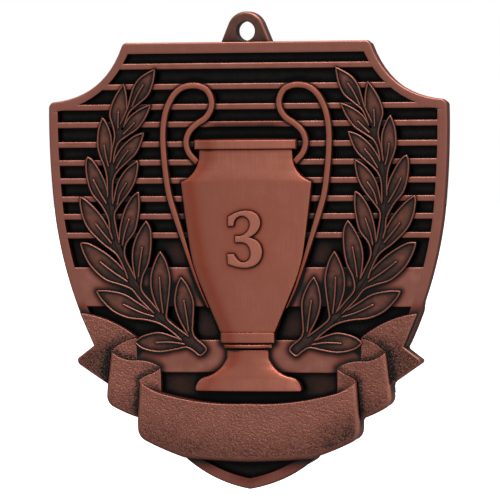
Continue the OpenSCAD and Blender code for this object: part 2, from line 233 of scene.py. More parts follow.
# The numeral's outer edge from the top terminal to the waist and on to the bottom terminal, the
# edges of its two bays and its square corners
NUMERAL_TOP = [
    (-2.6, -28.92), (-1.5, -28.33), (-0.5, -28.03), (0.35, -27.95), (1.2, -28.06),
    (1.95, -28.42), (2.4, -28.95), (2.62, -29.7), (2.5, -30.5), (2, -31.3), (1.3, -31.85),
    (0.78, -32.1),
]
NUMERAL_BOTTOM = [
    (0.78, -32.1), (1.5, -32.35), (2.1, -32.7), (2.6, -33.3), (2.86, -34.3), (2.7, -35.25),
    (2.3, -35.95), (1.7, -36.45), (0.85, -36.76), (-0.1, -36.85), (-1.4, -36.68), (-2.7, -36.27),
]
NUMERAL_LOWER_BAY = [
    (-1.7, -34.72), (-1.27, -35.4), (-0.75, -35.86), (-0.2, -36.02), (0.35, -35.87),
    (0.8, -35.45), (1.02, -34.7), (0.85, -33.8), (0.35, -33.12), (-0.3, -32.87),
]
NUMERAL_UPPER_BAY = [
    (-0.57, -31.9), (0.1, -31.58), (0.65, -31), (0.95, -30.2), (0.8, -29.45), (0.33, -28.95),
    (-0.37, -28.75), (-1.07, -29), (-1.52, -29.5), (-1.72, -30.33),
]
NUMERAL_CORNERS = [(-2.78, -34.72), (-1.47, -32.87), (-1.47, -31.9), (-2.6, -30.35)]

# ---- Outlines ----


def unit(v):
    return v / np.linalg.norm(v)


def left_of(v):
    return np.array([-v[1], v[0]])


def bow(a, b, s, n):
    """Points from a towards b, without b, on a curve that bows by s to the left."""
    a = np.array(a, float)
    b = np.array(b, float)
    if s == 0:
        return [a]
    middle = (a + b) / 2 + 2 * s * left_of(unit(b - a))
    steps = [i / n for i in range(n)]
    return [(1 - t) ** 2 * a + 2 * t * (1 - t) * middle + t * t * b for t in steps]


def edge(rows, n=12):
    """Points along rows of a place and the bow of the line that follows, without the last."""
    points = []
    for row, after in zip(rows, rows[1:]):
        points += bow(row[:2], after[:2], row[2], n)
    return points


def ring(rows):
    return spaced(np.array(edge(rows + rows[:1])))


def open_edge(rows):
    """The same with the last point, whose own bow is 0."""
    return edge(rows + rows[-1:])


def flipped(points):
    """The mirror image, in the same turning direction."""
    return np.array(points)[::-1] * [-1, 1]


def whole(half):
    """A closed symmetric outline from its right half, whose ends lie on the axis."""
    right = np.array(open_edge(half))
    return spaced(np.vstack([right, flipped(right[1:-1])]))


def spaced(loop, step=0.5):
    """The closed outline with its long edges divided."""
    points = []
    for a, b in zip(loop, np.roll(loop, -1, axis=0)):
        if np.linalg.norm(b - a) < 1e-6:
            continue
        count = math.ceil(np.linalg.norm(b - a) / step)
        points += [a + (b - a) * i / count for i in range(count)]
    return np.array(points)


def smooth(points, n=4):
    """A smooth open curve through the points."""
    p = np.array(points, float)
    padded = np.vstack([p[:1], p, p[-1:]])
    curve = []
    for i in range(len(p) - 1):
        before, start, end, after = padded[i:i + 4]
        for t in np.arange(n) / n:
            curve.append(0.5 * (
                2 * start + (end - before) * t
                + (2 * before - 5 * start + 4 * end - after) * t ** 2
                + (3 * start - before - 3 * end + after) * t ** 3))
    return np.array(curve + [p[-1]])


def mirrored(points, side):
    """The points on the right (side 1) or left (side -1)."""
    return np.array(points, float) * [side, 1]


def turned(loop):
    """The closed outline in clockwise order."""
    x, z = loop[:, 0], loop[:, 1]
    area = np.sum(x * np.roll(z, -1) - np.roll(x, -1) * z)
    return loop[::-1] if area > 0 else loop


def inset(loop, d):
    """The clockwise outline moved inwards by d, outwards if d is negative."""
    before = loop - np.roll(loop, 1, axis=0)
    after = np.roll(loop, -1, axis=0) - loop
    before /= np.linalg.norm(before, axis=1)[:, None]
    after /= np.linalg.norm(after, axis=1)[:, None]
    along = before + after
    along /= np.linalg.norm(along, axis=1)[:, None]
    reach = np.maximum(0.35, np.sum(along * before, axis=1))
    normal = np.stack([along[:, 1], -along[:, 0]], axis=1)
    return loop + normal * (d / reach)[:, None]


def strip(path, half_widths):
    """The closed outline of a strip along an open path."""
    tangent = np.gradient(path, axis=0)
    tangent /= np.linalg.norm(tangent, axis=1)[:, None]
    side = np.stack([-tangent[:, 1], tangent[:, 0]], axis=1) * np.reshape(half_widths, (-1, 1))
    return np.vstack([path + side, (path - side)[::-1]])


def distance(points, path, closed=True):
    """The distance from each point to a path."""
    a = np.asarray(path, float)
    b = np.roll(a, -1, axis=0)
    if not closed:
        a, b = a[:-1], b[:-1]
    along = b - a
    length = np.maximum(1e-12, np.sum(along ** 2, axis=1))
    best = np.full(len(points), np.inf)
    for start, way, size in zip(a, along, length):
        offset = points - start
        t = np.clip(offset @ way / size, 0, 1)
        best = np.minimum(best, np.linalg.norm(offset - t[:, None] * way, axis=1))
    return best


def inside(points, loop):
    """Which points lie within a closed outline."""
    x, z = points[:, 0], points[:, 1]
    result = np.zeros(len(points), bool)
    for (x0, z0), (x1, z1) in zip(loop, np.roll(loop, -1, axis=0)):
        if z0 == z1:
            continue
        crosses = (z0 > z) != (z1 > z)
        result ^= crosses & (x < (x1 - x0) * (z - z0) / (z1 - z0) + x0)
    return result


def shield_outline():
    return whole(SHIELD_ROWS)


def window_outline():
    """The inner edge of the raised border."""
    loop = inset(turned(whole(SHIELD_SHARP_ROWS)), BORDER_W)
    top = SHIELD_TOP - BORDER_TOP_W
    right = loop[(loop[:, 1] < top) & (loop[:, 0] >= 0)]
    above = loop[(loop[:, 1] >= top) & (loop[:, 0] > 0)][-1]
    below = right[0]
    share = (above[1] - top) / (above[1] - below[1])
    corner = above + (below - above) * share
    corner[1] = top
    half = np.vstack([[corner], right])
    return spaced(np.vstack([half, flipped(half)]))


def handle_outline(side):
    path = smooth(HANDLE_PATH, 5)
    taper = np.clip((np.arange(len(path)) / 5 - HANDLE_TAPER_FROM)
                    / (len(HANDLE_PATH) - 1 - HANDLE_TAPER_FROM), 0, 1)
    widths = (HANDLE_W + (HANDLE_TIP_W - HANDLE_W) * taper) / 2
    return strip(mirrored(path, side), widths)


def cup_body_outline():
    flank = smooth(CUP_FLANK, 8)
    neck = bow((NECK_HALF_W + 0.1, -20), SHOULDER, -0.65, 10)
    half = np.vstack([[(NECK_HALF_W, LIP_ROWS[1])], neck, flank])
    return spaced(np.vstack([half, flipped(half)]))


def cup_foot_outline():
    half = edge([(FOOT_STEM[0], FOOT_TOP, 0), (*FOOT_STEM, -0.65), (*FOOT_WING, 0.3),
                 (FOOT_HALF_W, FOOT_BOTTOM + 0.3, 0.08), (FOOT_HALF_W - 0.3, FOOT_BOTTOM, 0),
                 (0, FOOT_BOTTOM, 0)])
    return spaced(np.vstack([half, flipped(half)]))


def rectangle(half_w, top, bottom):
    return spaced(np.array([(-half_w, top), (half_w, top), (half_w, bottom), (-half_w, bottom)]))


def center_outline():
    return whole([(0, CENTER_TOP, -0.58), (*FOLD_BOTTOM, -CENTER_TOP_BOW), (*CENTER_CORNER, 0)]
                 + CENTER_FOOT_ROWS)


def fold_outline(side):
    return mirrored(ring([(*FOLD_TOP, 0), (*FOLD_BOTTOM, -CENTER_TOP_BOW),
                          (*CENTER_CORNER, -FOLD_UPPER_BOW), (*FOLD_MIDDLE, FOLD_UPPER_SAG)]),
                    side)


def mid_outline(side):
    return mirrored(ring([
        (*MID_CORNER, TURN_LOWER_BOW), (*TURN_BOTTOM, -MID_TOP_BOW), (*FOLD_TOP, -FOLD_UPPER_SAG),
        (*FOLD_MIDDLE, FOLD_UPPER_BOW), (*CENTER_CORNER, 0), (*CENTER_SIDE, -0.13),
        (*MID_SIDE, -0.2), (*MID_LOW, 0), (*MID_FOOT, 0)]), side)


def turn_outline(side):
    return mirrored(ring([(*MID_CORNER, -TURN_UPPER_BOW), (*TURN_TOP, 0),
                          (*TURN_BOTTOM, -TURN_LOWER_BOW)]), side)


def tail_outline(side):
    return mirrored(ring(TAIL_ROWS + [(*MID_FOOT, 0), (*MID_CORNER, -TURN_UPPER_BOW)]), side)


def banner_outline():
    """The outer edge that all the panels share."""
    return whole(
        [(0, CENTER_TOP, -0.58), (*FOLD_BOTTOM, 0), (*FOLD_TOP, MID_TOP_BOW), (*TURN_BOTTOM, 0)]
        + TAIL_ROWS + [(*MID_FOOT, 0), (*MID_LOW, 0.2), (*MID_SIDE, 0.13)]
        + CENTER_FOOT_ROWS)


def numeral_outline():
    foot, bar_low, bar_high, head = [[corner] for corner in NUMERAL_CORNERS]
    return spaced(np.vstack([
        smooth(NUMERAL_TOP), smooth(NUMERAL_BOTTOM)[1:], foot, smooth(NUMERAL_LOWER_BAY),
        bar_low, bar_high, smooth(NUMERAL_UPPER_BAY), head]))


def leaf_curves(leaf, side):
    """The ridge over the leaf's tip and its middle rib."""
    tip, one, other, rib = leaf
    ridge = np.vstack([smooth([tip] + one)[::-1], smooth([tip] + other)[1:]])
    return mirrored(ridge, side), mirrored(smooth(rib, 6), side)


def stem_outline(side):
    path = smooth(STEM_PATH)
    return strip(mirrored(path, side), np.full(len(path), STEM_W / 2))


SHIELD = turned(shield_outline())
WINDOW = turned(window_outline())
BANNER = turned(banner_outline())
CUP_PARTS = [rectangle(LIP_HALF_W, *LIP_ROWS), cup_body_outline(),
             rectangle(COLLAR_HALF_W, WAIST[1], COLLAR_BOTTOM), cup_foot_outline()]
NUMERAL = turned(numeral_outline())
SIDES = ((-1, "left"), (1, "right"))
RIDGES = {side: [leaf_curves(leaf, side) for leaf in OUTER_LEAVES + INNER_LEAVES]
          for side, _ in SIDES}

# ---- Meshes ----


def at(x, z, h):
    """The point at height h over the back, in metres."""
    return Vector((x, BACK_Y - h, z)) * MM


def fade(values, start, reach):
    """0 up to start, and 1 from start + reach on. A negative reach turns it round."""
    return np.clip((values - start) / reach, 0, 1)


def bell(values, middle, width):
    """1 at the middle, and almost 0 two widths away."""
    return np.exp(-((values - middle) / width) ** 2)


def grain(points, size, seed=0.0):
    """Cloudy noise from -1 to 1 at points given in mm, with features of that size."""
    return np.array([noise.noise(Vector((x / size, z / size, seed))) for x, z in points])


def grid(low, high, step):
    """A staggered grid of points between two corners."""
    rows = []
    for k, z in enumerate(np.arange(low[1], high[1], step * 0.87)):
        x = np.arange(low[0] + (k % 2) * step / 2, high[0], step)
        rows.append(np.stack([x, np.full(len(x), z)], axis=1))
    return np.vstack(rows)


def distance_to_loops(points, loops):
    return np.min([distance(points, loop) for loop in loops], axis=0)


def triangulated(loops, within, step=None, keep_off=None, span=None):
    """Triangles over the region where within(points) holds, with the outlines as edges. span
    holds points all round it, and is the first outline if it isn't given."""
    points = list(np.vstack(loops))
    edges = []
    start = 0
    for loop in loops:
        count = len(loop)
        edges += [(start + i, start + (i + 1) % count) for i in range(count)]
        start += count
    if step:
        span = loops[0] if span is None else span
        extra = grid(np.min(span, axis=0), np.max(span, axis=0), step)
        extra = extra[within(extra)]
        points += list(extra[distance_to_loops(extra, loops) > (keep_off or step * 0.45)])
    flat = [Vector((float(p[0]), float(p[1]))) for p in points]
    verts, _, faces, *_ = geometry.delaunay_2d_cdt(flat, edges, [], 0, 1e-5)
    xz = np.array([tuple(v) for v in verts])
    faces = np.array([f for f in faces if len(f) == 3])
    centres = xz[faces].mean(axis=1)
    faces = faces[within(centres)]
    used, index = np.unique(faces, return_inverse=True)
    return xz[used], index.reshape(-1, 3)


def filled(outline, r, shares, step):
    """Triangles over an outline, with an inset at each share of its edge's radius r, and how
    far each point is from the outline."""
    loop = turned(outline)
    loops = [loop] + [inset(loop, r * share) for share in shares]
    xz, faces = triangulated(loops, lambda points: inside(points, loop), step)
    return xz, faces, distance(xz, loop)


def rounding(d, r):
    """How far a rounded edge of radius r has dropped at distance d inside it."""
    reach = np.clip(r - d, 0, r)
    return r - np.sqrt(np.maximum(0, r * r - reach * reach))


def steps_in(loop, r):
    """The outline and the insets that a rounded edge needs."""
    return [loop] + [inset(loop, r * share) for share in (0.1, 0.3, 0.6, 1)]


def started():
    """An empty mesh to build in, and its values of patina and painted light."""
    bm = bmesh.new()
    return bm, bm.verts.layers.float.new("patina_and_painted_light")


def finished(bm, name, angle=40):
    """The object, with smooth faces, and sharp edges where they turn by more than angle."""
    bmesh.ops.recalc_face_normals(bm, faces=bm.faces)
    mesh = bpy.data.meshes.new(name)
    bm.to_mesh(mesh)
    bm.free()
    mesh.shade_smooth()
    mesh.set_sharp_from_angle(angle=math.radians(angle))
    piece = bpy.data.objects.new(name, mesh)
    bpy.context.scene.collection.objects.link(piece)
    return piece


def placed(piece, material, node):
    """Gives the piece its material and its place in the frame."""
    piece.data.materials.append(material)
    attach(piece, "root")
    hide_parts(node)


def outward_from(rim):
    """The direction out of the piece at each point of its rim, across the front."""
    outward = {}
    for e in rim:
        normal = e.link_faces[0].calc_center_median() - (e.verts[0].co + e.verts[1].co) / 2
        along = (e.verts[1].co - e.verts[0].co).normalized()
        normal = -(normal - along * normal.dot(along))
        normal.y = 0
        for vert in e.verts:
            outward[vert] = outward.get(vert, Vector()) + normal.normalized()
    for vert in [vert for vert, push in outward.items() if push.length < 0.5]:
        beside = [e.other_vert(vert) for e in vert.link_edges if e.is_boundary]
        outward[vert] = sum((outward[other] for other in beside), Vector())
    return outward


# The walls have a narrow ring under the front's edge, then a ring at the foot. Each takes its
# share of the draft.
WALL_RING = 0.14
RING_DRAFT = 0.3
FOOT_DRAFT = 0.7
BACK_EDGE = 0.04  # the strip round the back in which the walls' patina ends


def solid(name, xz, faces, heights, dark, base, draft=0.08, wall=0.58, foot=1.0):
    """A piece with that front, walls that lean out by draft, and a flat bottom at base. dark is
    how much patina and painted light each point of the front has, and wall and foot how much the
    walls have. draft, wall and foot are one value or a value for each point."""
    bm, layer = started()
    front = []
    wanted = {}
    rims = np.stack([np.broadcast_to(value, len(xz)) for value in (draft, wall, foot)], axis=1)
    for (x, z), h, shade, rim in zip(xz, heights, dark, rims.tolist()):
        vert = bm.verts.new(at(x, z, h))
        vert[layer] = shade
        front.append(vert)
        wanted[vert] = rim
    for face in faces:
        bm.faces.new([front[i] for i in face])
    bmesh.ops.recalc_face_normals(bm, faces=bm.faces)
    if sum(face.normal.y for face in bm.faces) > 0:
        bmesh.ops.reverse_faces(bm, faces=bm.faces)
    rim = [e for e in bm.edges if e.is_boundary]
    outward = outward_from(rim)
    for depth, share, part in ((WALL_RING, RING_DRAFT, 1), (None, FOOT_DRAFT, 2)):
        result = bmesh.ops.extrude_edge_only(bm, edges=rim)["geom"]
        below = [g for g in result if isinstance(g, bmesh.types.BMVert)]
        rim = [g for g in result if isinstance(g, bmesh.types.BMEdge)]
        lookup = {}
        for vert in outward:
            for e in vert.link_edges:
                other = e.other_vert(vert)
                if other in below and (other.co - vert.co).length < 1e-9:
                    lookup[other] = vert
        following = {}
        for new, old in lookup.items():
            push = outward[old]
            if push.length > 1e-9:
                push = push.normalized()
            following[new] = push
            h = BACK_Y - new.co.y / MM
            target = base if depth is None else max(base + 0.01, h - depth)
            wanted[new] = wanted[old]
            new.co = new.co + push * wanted[new][0] * share * MM
            new.co.y = (BACK_Y - target) * MM
            new[layer] = wanted[new][part]
        outward = following
    under = bmesh.ops.holes_fill(bm, edges=rim, sides=0)["faces"]
    if base == 0:
        bmesh.ops.inset_region(bm, faces=under, thickness=BACK_EDGE * MM, use_even_offset=True)
        for face in under:
            for vert in face.verts:
                vert[layer] = BACK_PATINA
    return finished(bm, name)


def swept(bm, layer, path, half_w, base, top, dark):
    """Adds a rounded ridge along an open path, tapered to a round end where it stops."""
    tangent = np.gradient(path, axis=0)
    tangent /= np.linalg.norm(tangent, axis=1)[:, None]
    side = np.stack([-tangent[:, 1], tangent[:, 0]], axis=1)
    angles = np.radians([0, 30, 60, 90, 120, 150, 180])
    rings = []
    for point, across in zip(path, side):
        section = []
        for angle in angles:
            x, z = point + across * half_w * math.cos(angle)
            vert = bm.verts.new(at(x, z, base + (top - base) * math.sin(angle)))
            vert[layer] = POLISHED + 0.06 + dark * (1 - math.sin(angle)) ** 1.1
            section.append(vert)
        rings.append(section)
    for one, other in zip(rings, rings[1:]):
        for i in range(len(angles) - 1):
            bm.faces.new((one[i], one[i + 1], other[i + 1], other[i]))
        bm.faces.new((one[-1], one[0], other[0], other[-1]))
    for section, point, way in ((rings[0], path[0], -tangent[0]),
                                (rings[-1], path[-1], tangent[-1])):
        x, z = point + way * half_w * 0.9
        tip = bm.verts.new(at(x, z, base))
        tip[layer] = dark
        x, z = point + way * half_w * 0.62
        crown = bm.verts.new(at(x, z, base + (top - base) * 0.75))
        crown[layer] = dark * 0.4
        for i in range(len(angles) - 1):
            bm.faces.new((section[i], section[i + 1], crown))
        bm.faces.new((section[0], crown, tip))
        bm.faces.new((crown, section[-1], tip))
        bm.faces.new((section[-1], section[0], tip))


# ---- Materials ----

COPPER = (0.43, 0.156, 0.112, 1)
CUP_COPPER = (0.5, 0.157, 0.1, 1)
RED = (0.25, 0.058, 0.038, 1)
CUP_RED = (0.44, 0.088, 0.045, 1)
SMOKE = (0.2, 0.083, 0.062, 1)
LEAF_RED = (0.22, 0.078, 0.053, 1)
BROWN = (0.07, 0.034, 0.027, 1)
SOOT = (0.019, 0.018, 0.0165, 1)
BLACK = (0.003, 0.0028, 0.0025, 1)
EDGE_TINT = (0.6, 0.4, 0.34, 1)
POLISHED = 0.12  # patina of a polished face; edges with a painted highlight have less
DULL_ROUGH = 0.62  # roughness of the darkest patina
CREVICE = 0.9  # how near the walls of a crevice are


def join(tree, node, inputs):
    """Sets each input of the node to a value, or links it to an output."""
    for key, value in inputs.items():
        if isinstance(value, bpy.types.NodeSocket):
            tree.links.new(value, node.inputs[key])
        else:
            node.inputs[key].default_value = value
    return node


def added(tree, kind, inputs=None):
    """A new shader node of that kind, with its inputs joined."""
    return join(tree, tree.nodes.new("ShaderNode" + kind), inputs or {})


def math_node(tree, operation, one, other):
    node = added(tree, "Math", {0: one, 1: other})
    node.operation = operation
    return node.outputs[0]


def noise_node(tree, vector, scale, detail):
    inputs = {"Vector": vector, "Scale": scale, "Detail": detail}
    return added(tree, "TexNoise", inputs).outputs["Fac"]


def scaled(tree, vector, scale):
    return added(tree, "Mapping", {"Vector": vector, "Scale": scale}).outputs["Vector"]


def swing(tree, value, weight):
    """A value from 0 to 1, moved to swing about 0 and multiplied by weight."""
    centred = math_node(tree, "SUBTRACT", value, 0.5)
    return math_node(tree, "MULTIPLY", centred, weight)


def antique(name, bright=COPPER, middle=RED, rough=0.36, brush=0.0, mottle=0.12, depth=0.5,
            bump=0.03, pebbles=0.0, coat=0.4):
    """Polished copper under a thin lacquer. It turns through the middle colour and brown to a
    black patina where the piece's value of patina and painted shade is high and in its crevices,
    and lighter than polished copper where a painted highlight makes that value low."""
    material = bpy.data.materials.new(name)
    material.use_nodes = True
    tree = material.node_tree
    in_mm = scaled(tree, added(tree, "TexCoord").outputs["Object"], (1 / MM, 1 / MM, 1 / MM))
    cloud = noise_node(tree, in_mm, 0.45, 5)
    streak = noise_node(tree, scaled(tree, in_mm, (9, 1, 0.18)), 1.0, 4)
    fine = noise_node(tree, in_mm, 5.5, 2)

    patina_and_painted_light = added(tree, "Attribute")
    patina_and_painted_light.attribute_name = "patina_and_painted_light"
    crevice = added(tree, "AmbientOcclusion", {"Distance": CREVICE * MM})
    crevice.samples = 6
    crevice.only_local = False
    hidden = math_node(tree, "SUBTRACT", 1.0, crevice.outputs["AO"])
    pits = math_node(tree, "MULTIPLY", swing(tree, fine, -pebbles), patina_and_painted_light.outputs["Fac"])
    total = patina_and_painted_light.outputs["Fac"]
    for part in (math_node(tree, "MULTIPLY", hidden, depth), swing(tree, cloud, mottle * 2),
                 swing(tree, streak, brush), pits):
        total = math_node(tree, "ADD", total, part)

    ramp = added(tree, "ValToRGB", {"Fac": total})
    stops = ramp.color_ramp.elements
    stops[0].position = 0.0
    # Lighter than polished copper, for painted highlights along edges and the numeral's bright
    # face
    stops[0].color = tuple(1.3 * c + 0.03 for c in bright[:3]) + (1,)
    stops[1].position = 1.0
    stops[1].color = BLACK
    for position, colour in ((POLISHED, bright), (0.45, middle), (0.7, BROWN), (0.88, SOOT)):
        stop = stops.new(position)
        stop.color = colour
    dull = added(tree, "MapRange", {"Value": total, "To Min": rough, "To Max": DULL_ROUGH})
    surface = math_node(tree, "MULTIPLY", streak, 1.0 if brush else 0.3)
    surface = math_node(tree, "ADD", surface, fine)
    relief = added(tree, "Bump", {"Strength": 1.0, "Distance": bump * MM, "Height": surface})
    join(tree, tree.nodes["Principled BSDF"], {
        "Metallic": 1.0, "Specular Tint": EDGE_TINT, "Coat Weight": coat,
        "Coat Roughness": 0.2, "Base Color": ramp.outputs["Color"],
        "Roughness": dull.outputs["Result"], "Normal": relief.outputs["Normal"]})
    return material


PLATE_METAL = antique("patina recess", middle=SMOKE, mottle=0.04, rough=0.5, bump=0.05,
                      pebbles=0.2, coat=0.15)
BORDER_METAL = antique("border copper", brush=0.12, mottle=0.08)
EYE_METAL = antique("eye copper", middle=SMOKE, mottle=0.2, pebbles=0.4)
CUP_METAL = antique("cup copper", CUP_COPPER, CUP_RED, brush=0.16, mottle=0.05, rough=0.34)
LAUREL_METAL = antique("laurel copper", middle=LEAF_RED, mottle=0.1, depth=0.4)
BANNER_METAL = antique("banner copper", middle=LEAF_RED, mottle=0.1, depth=0.35, rough=0.4,
                       bump=0.13, pebbles=2.2)

# ---- Patina and painted shade ----

RELIEF_LOOPS = (CUP_PARTS + [BANNER] + [handle_outline(side) for side, _ in SIDES]
                + [ridge for side, _ in SIDES for ridge, _ in RIDGES[side]])
# Where the black floor is worn to copper, on both sides: middle, radius and strength
WORN = [(11.5, -34.6, 1.6, 0.2), (7.3, -46, 1.9, 0.18), (11.5, -55.2, 2.6, 0.2)]


def halo(points, width, loops):
    """A value that is 1 at the outlines and fades over width, for patina and painted shade."""
    return bell(distance_to_loops(points, loops), 0, width)


def crowded(points, reach):
    """How many elements of the relief a point is closer to than reach."""
    total = np.zeros(len(points))
    for loop in RELIEF_LOOPS:
        low, high = loop.min(0) - 3 * reach, loop.max(0) + 3 * reach
        close = np.all((points > low) & (points < high), axis=1)
        if close.any():
            total[close] += bell(distance(points[close], loop), 0, reach)
    return total


def worn(points):
    """How much copper shows through the patina of the floor."""
    total = np.zeros(len(points))
    for x, z, radius, strength in WORN:
        away = np.hypot(np.abs(points[:, 0]) - x, points[:, 1] - z)
        total = np.maximum(total, strength * bell(away, 0, radius))
    return total


# ---- The shield ----

BURIED = 0.3  # how far the bars run in under the cup and the banner
CORNER_BOTTOM = -9.5  # above this, the border's outer edge has a painted highlight instead of painted shade
UNDER_BANNER = -64  # below this, the border is the darker tip under the banner


def shield_plate():
    """The flat back, the edge and the black floor of the relief."""
    loops = [inset(SHIELD, 0.02), BANNER]

    def within(points):
        return inside(points, loops[0]) & ~inside(points, BANNER)

    xz, faces = triangulated(loops, within, 0.6)
    heights = np.full(len(xz), FLOOR_T)
    dark = 0.88 - worn(xz) - 0.04 * grain(xz, 1.2)
    # Painted shade on the floor close to the relief
    dark += 0.12 * np.clip(1.6 * crowded(xz, 0.7), 0, 1)
    lean = BACK_LEAN * fade(distance(xz, BANNER), 0.3, 1.5)
    piece = solid("shield_plate_visual", xz, faces, heights, dark, 0,
                  draft=-lean, wall=0.5, foot=0.62)
    placed(piece, PLATE_METAL, "shield_plate")


def border_frame():
    """The raised border, rounded along its outer edge and along its inner edge where no bar or
    band joins it."""
    outer_r = 0.26
    inner_r = 0.08
    outers = steps_in(SHIELD, outer_r)
    inners = [WINDOW] + [inset(WINDOW, -inner_r * share) for share in (0.3, 1)]

    def within(points):
        return inside(points, SHIELD) & ~inside(points, WINDOW) & ~inside(points, BANNER)

    xz, faces = triangulated(outers + inners + [BANNER], within, 0.45)
    out = distance(xz, SHIELD)
    x, z = xz.T
    rows = [(height + BAR_H / 2, height - BAR_H / 2) for height in BAR_ROWS]
    joined = np.zeros(len(xz), bool)
    for top, bottom in rows + [BAND_UPPER, BAND_LOWER]:
        joined |= (z < top - 0.1) & (z > bottom + 0.1)
    heights = BORDER_T - rounding(out, outer_r)
    heights -= rounding(distance(xz, WINDOW), inner_r) * ~joined
    low = z < CORNER_BOTTOM
    dark = POLISHED + 0.03 + 0.55 * halo(xz, 1.3, [BANNER])
    # Painted shade along the outer edge below CORNER_BOTTOM and a painted highlight along it above
    dark += low * 0.12 * bell(out, 0, 0.14) - 0.03 * (out < 0.2) * ~low
    dark += 0.28 * fade(np.abs(x), 4.4, -4) * (z < -66) * fade(out, 0.4, 1)
    dark += 0.1 * (z < UNDER_BANNER)
    piece = solid("border_frame_visual", xz, faces, heights, dark, FLOOR_T, draft=0.0,
                  wall=0.42, foot=0.5)
    placed(piece, BORDER_METAL, "border_frame")


def stripe(node, top, bottom, smoke=0.32, base=0.03):
    """A thin bar or a wide band across the floor. It is dark within smoke of the relief, in the
    gaps between two elements and above the cup's lip."""
    r = 0.12
    hidden = CUP_PARTS + [BANNER]
    buried = [inset(turned(part), BURIED) for part in hidden]
    ends = inset(WINDOW, -0.02)

    def within(points):
        keep = inside(points, ends) & (points[:, 1] < top) & (points[:, 1] > bottom)
        for loop in buried:
            keep &= ~inside(points, loop)
        return keep

    cuts = [loop for loop, part in zip(buried, hidden)
            if part[:, 1].max() > bottom and part[:, 1].min() < top]
    rows = [spaced(rectangle(40, top - r * k, bottom + r * k), 0.3) for k in (0, 0.15, 0.45, 1)]
    xz, faces = triangulated(rows + [ends] + cuts, within, 0.3)
    x, z = xz.T
    heights = BORDER_T - 0.004 - rounding(np.minimum(top - z, z - bottom), r)
    dark = POLISHED + base + np.clip(0.8 * crowded(xz, smoke) ** 1.2, 0, 0.7)
    dark += 0.7 * fade(crowded(xz, 0.85), 0.9, 1)
    # Painted highlight along the top edge, a painted shade line just under it and painted shade
    # along the bottom edge
    dark -= 0.1 * fade(z, top - 0.16, 0.1)
    dark += 0.07 * bell(top - z, 0.32, 0.09)
    dark += 0.22 * fade(z, bottom + 0.24, -0.2)
    over_lip = bell(z - LIP_ROWS[0], 1.5, 1.1) * (z > LIP_ROWS[0])
    dark += 0.8 * over_lip * fade(np.abs(x), 7, -2.5)
    dark += 0.08 * grain(xz, 1.5)
    piece = solid(node + "_visual", xz, faces, heights, dark, FLOOR_T, draft=0.1)
    placed(piece, BORDER_METAL, node)


def eye_outline():
    """The lug: an arc round the hole, with straight flanks down into the border."""
    low = math.acos(EYE_OUTER_R / math.hypot(EYE_FOOT_W, SHIELD_TOP)) - math.atan2(
        -SHIELD_TOP, EYE_FOOT_W)
    turns = np.linspace(math.pi - low, low, 40)
    arc = EYE_OUTER_R * np.stack([np.cos(turns), np.sin(turns)], axis=1)
    foot = SHIELD_TOP - 0.3
    return turned(spaced(np.vstack([arc, [(EYE_FOOT_W, SHIELD_TOP), (EYE_FOOT_W, foot),
                                          (-EYE_FOOT_W, foot), (-EYE_FOOT_W, SHIELD_TOP)]])))


def suspension_eye():
    """The lug with its round hole, rounded along every edge."""
    outer_r = 0.4
    hole_r = 0.12
    outer = eye_outline()
    turns = np.linspace(0, 2 * math.pi, 64, endpoint=False)
    hole = turned(EYE_HOLE_R * np.stack([np.cos(turns), np.sin(turns)], axis=1))

    def within(points):
        return inside(points, outer) & ~inside(points, hole)

    inners = [hole, inset(hole, -hole_r * 0.3), inset(hole, -hole_r)]
    xz, faces = triangulated(steps_in(outer, outer_r) + inners, within, 0.3)
    out = distance(xz, outer)
    x, z = xz.T
    round_hole = rounding(distance(xz, hole), hole_r)
    drop = rounding(out, outer_r)
    # Darker towards the bottom, with a painted highlight along the rounded outer edge, strongest
    # on the right
    dark = 0.5 + 0.18 * fade(z, 0.3, -2)
    dark -= 0.45 * np.clip(x / 1.5, 0.25, 1) * bell(out, 0.2, 0.12)
    dark[round_hole > 0.99 * hole_r] = 0.95
    bm, layer = started()
    sheets = []
    for heights in (EYE_FRONT - drop - round_hole, EYE_BACK + 0.6 * drop + round_hole):
        sheets.append([bm.verts.new(at(*place, h)) for place, h in zip(xz, heights)])
        for vert, shade in zip(sheets[-1], dark):
            vert[layer] = shade
    for verts in sheets:
        for face in faces:
            bm.faces.new([verts[i] for i in face])
    front, back = sheets
    for e in [e for e in bm.edges if e.is_boundary]:
        one, other = e.verts
        if one in back or other in back:
            continue
        bm.faces.new((one, other, back[front.index(other)], back[front.index(one)]))
    placed(finished(bm, "suspension_eye_visual"), EYE_METAL, "suspension_eye")


# ---- The cup ----


def cup_half_width(z):
    """Half the width of the cup at each height."""
    rows = [(FOOT_HALF_W, FOOT_BOTTOM), FOOT_WING, (4.3, -52.3), FOOT_STEM,
            (FOOT_STEM[0], FOOT_TOP + 0.12), (COLLAR_HALF_W, COLLAR_BOTTOM)]
    rows += CUP_FLANK[::-1]
    rows += [(8.7, -21.7), (NECK_HALF_W + 0.1, -20), (NECK_HALF_W, -18.4)]
    widths, levels = zip(*rows)
    return np.interp(z, levels, widths)


def cup_front(xz, extra=0.0):
    """Height of the cup's round front, flatter where the cup is narrow."""
    half = cup_half_width(xz[:, 1])
    across = np.clip(np.abs(xz[:, 0]) / half, 0, 1)
    rise = (CUP_FRONT - CUP_EDGE) * (0.55 + 0.45 * half / CUP_FULL_W)
    return CUP_EDGE + extra + rise * (1 - across ** 2.3) ** 0.75


